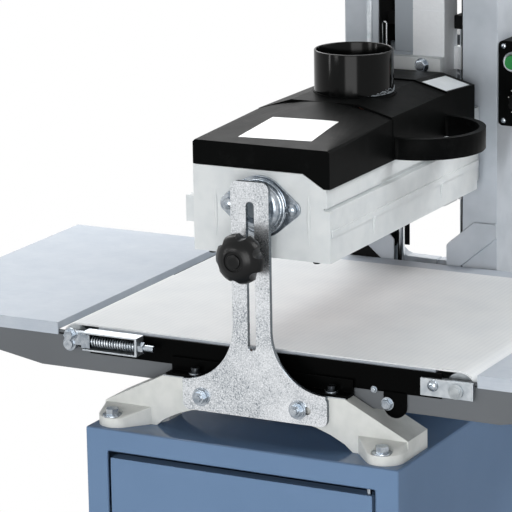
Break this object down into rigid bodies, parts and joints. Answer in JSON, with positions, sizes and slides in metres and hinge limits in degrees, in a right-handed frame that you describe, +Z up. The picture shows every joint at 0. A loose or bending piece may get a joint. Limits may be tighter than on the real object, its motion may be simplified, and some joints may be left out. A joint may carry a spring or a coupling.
{
  "type": "open-ended drum sander",
  "caption": "Open-ended drum sander: a motor-driven abrasive drum in a lifting head over a powered conveyor belt, with a dust hood, extension tables and a cabinet stand.",
  "frame": {"origin": "on the floor, at the centre of the footprint of the bounding box", "axes": "+X along the feed towards the outfeed table, +Y along the drum from the open end to the column and motor, +Z up"},
  "size_m": [1.054, 0.876, 1.348],
  "materials": {
    "blue_paint": "satin",
    "light_casting": "satin",
    "leg_paint": "satin",
    "grey_paint": "satin",
    "dark_paint": "satin",
    "black_paint": "gloss",
    "zinc": "galvanised spangle",
    "bright_zinc": "zinc plated",
    "steel": "turned",
    "chrome_rod": "polished",
    "table_steel": "brushed",
    "belt_pvc": "fine weave",
    "black_abs": "fine grain",
    "gloss_abs": "gloss",
    "knob_plastic": "moulded",
    "drum_alu": "turned",
    "abrasive": "gritted",
    "bronze": "machined",
    "foot_rubber": "matt",
    "green_plastic": "gloss",
    "red_plastic": "gloss"
  },
  "bodies": {
    "base": {"cabinet": "blue_paint", "levelling_feet": "foot_rubber", "hinge_pins": "bright_zinc", "front_leg": "leg_paint", "rear_leg": "leg_paint", "leg_bolts": "bright_zinc", "support_bracket": "zinc", "bracket_bolts": "bright_zinc", "side_rails": "black_paint", "frame_plates": "dark_paint", "bed_plate": "table_steel", "bed_beams": "dark_paint", "bed_mounts": "black_paint", "mount_bolts": "black_paint", "conveyor_belt": "belt_pvc", "drive_plates": "zinc", "gearmotor": "dark_paint", "takeup_brackets": "zinc", "takeup_springs": "bright_zinc", "infeed_table": "table_steel", "outfeed_table": "table_steel", "column_base": "light_casting", "left_post": "grey_paint", "right_post": "grey_paint", "column_cap": "light_casting", "guide_rods": "chrome_rod", "switch_box": "black_abs"},
    "door": {"cabinet_door": "blue_paint", "door_pull": "knob_plastic"},
    "drive": {"drive_roller": "steel"},
    "takeup": {"idler_takeup": "bright_zinc"},
    "idler": {"idler_roller": "steel"},
    "crank": {"height_screw": "steel", "crank_arm": "black_paint"},
    "grip": {"crank_grip": "knob_plastic"},
    "head": {"head_casting": "light_casting", "carriage": "light_casting", "lift_nut": "bronze", "outboard_bearing": "bright_zinc", "bearing_bolts": "bright_zinc", "inboard_bearing": "steel", "motor": "dark_paint", "fan_cover": "black_paint", "terminal_box": "dark_paint", "clamp_stud": "bright_zinc", "hood_hinge_pins": "bright_zinc"},
    "knob": {"clamp_knob": "knob_plastic"},
    "drum": {"drum_shaft": "steel", "drum": "drum_alu", "abrasive_wrap": "abrasive", "coupling": "steel"},
    "hood": {"dust_hood": "black_abs", "dust_port": "gloss_abs"},
    "infeed_press": {"infeed_carrier": "zinc"},
    "outfeed_press": {"outfeed_carrier": "zinc"},
    "infeed_roll": {"infeed_roller": "steel"},
    "outfeed_roll": {"outfeed_roller": "steel"},
    "start": {"start_button": "green_plastic"},
    "stop": {"stop_button": "red_plastic"},
    "speed": {"speed_knob": "knob_plastic"}
  },
  "joints": [
    {"name": "door_hinge", "type": "hinge", "parent": "base", "child": "door", "pos_m": [0.1705, -0.4037, 0.38], "axis": [0, 0, 1], "range_deg": [0, 110]},
    {"name": "drive_spin", "type": "hinge", "parent": "base", "child": "drive", "pos_m": [0.259, -0.13, 0.8265], "axis": [0, 1, 0], "continuous": true},
    {"name": "takeup_slide", "type": "slide", "parent": "base", "child": "takeup", "axis": [1, 0, 0], "range_m": [0, 0.008], "stiffness_N_per_m": 4000, "springref_m": -0.01, "deforming": ["takeup_springs"]},
    {"name": "idler_spin", "type": "hinge", "parent": "takeup", "child": "idler", "pos_m": [-0.259, -0.13, 0.8265], "axis": [0, 1, 0], "continuous": true},
    {"name": "crank_turn", "type": "hinge", "parent": "base", "child": "crank", "pos_m": [0, 0.135, 1.24], "axis": [0, 0, 1], "range_deg": [-19350, 3330]},
    {"name": "grip_spin", "type": "hinge", "parent": "crank", "child": "grip", "pos_m": [0, 0.038, 1.31], "axis": [0, 0, 1], "continuous": true},
    {"name": "head_lift", "type": "slide", "parent": "base", "child": "head", "axis": [0, 0, 1], "range_m": [-0.107, 0.018]},
    {"name": "clamp_turn", "type": "hinge", "parent": "head", "child": "knob", "pos_m": [0.0034, -0.4, 0.971], "axis": [0, 1, 0], "range_deg": [0, 360]},
    {"name": "drum_spin", "type": "hinge", "parent": "head", "child": "drum", "pos_m": [0, -0.13, 1.021], "axis": [0, 1, 0], "continuous": true},
    {"name": "hood_hinge", "type": "hinge", "parent": "head", "child": "hood", "pos_m": [-0.098, -0.13, 1.068], "axis": [0, -1, 0], "range_deg": [0, 85]},
    {"name": "infeed_press_slide", "type": "slide", "parent": "head", "child": "infeed_press", "axis": [0, 0, 1], "range_m": [0, 0.006], "stiffness_N_per_m": 3000, "springref_m": -0.01},
    {"name": "outfeed_press_slide", "type": "slide", "parent": "head", "child": "outfeed_press", "axis": [0, 0, 1], "range_m": [0, 0.006], "stiffness_N_per_m": 3000, "springref_m": -0.01},
    {"name": "infeed_roll_spin", "type": "hinge", "parent": "infeed_press", "child": "infeed_roll", "pos_m": [-0.066, -0.13, 0.9657], "axis": [0, 1, 0], "continuous": true},
    {"name": "outfeed_roll_spin", "type": "hinge", "parent": "outfeed_press", "child": "outfeed_roll", "pos_m": [0.066, -0.13, 0.9657], "axis": [0, 1, 0], "continuous": true},
    {"name": "start_press", "type": "slide", "parent": "base", "child": "start", "axis": [0, 1, 0], "range_m": [0, 0.004], "stiffness_N_per_m": 600, "springref_m": -0.001},
    {"name": "stop_press", "type": "slide", "parent": "base", "child": "stop", "axis": [0, 1, 0], "range_m": [0, 0.004], "stiffness_N_per_m": 600, "springref_m": -0.001},
    {"name": "speed_turn", "type": "hinge", "parent": "base", "child": "speed", "pos_m": [0.1445, 0.12, 1.075], "axis": [0, 1, 0], "range_deg": [0, 270]}
  ],
  "couplings": [
    {"joint": "crank_turn", "follows": "head_lift", "rad_per_m": 3141.6},
    {"joint": "idler_spin", "follows": "drive_spin", "ratio": 1}
  ]
}
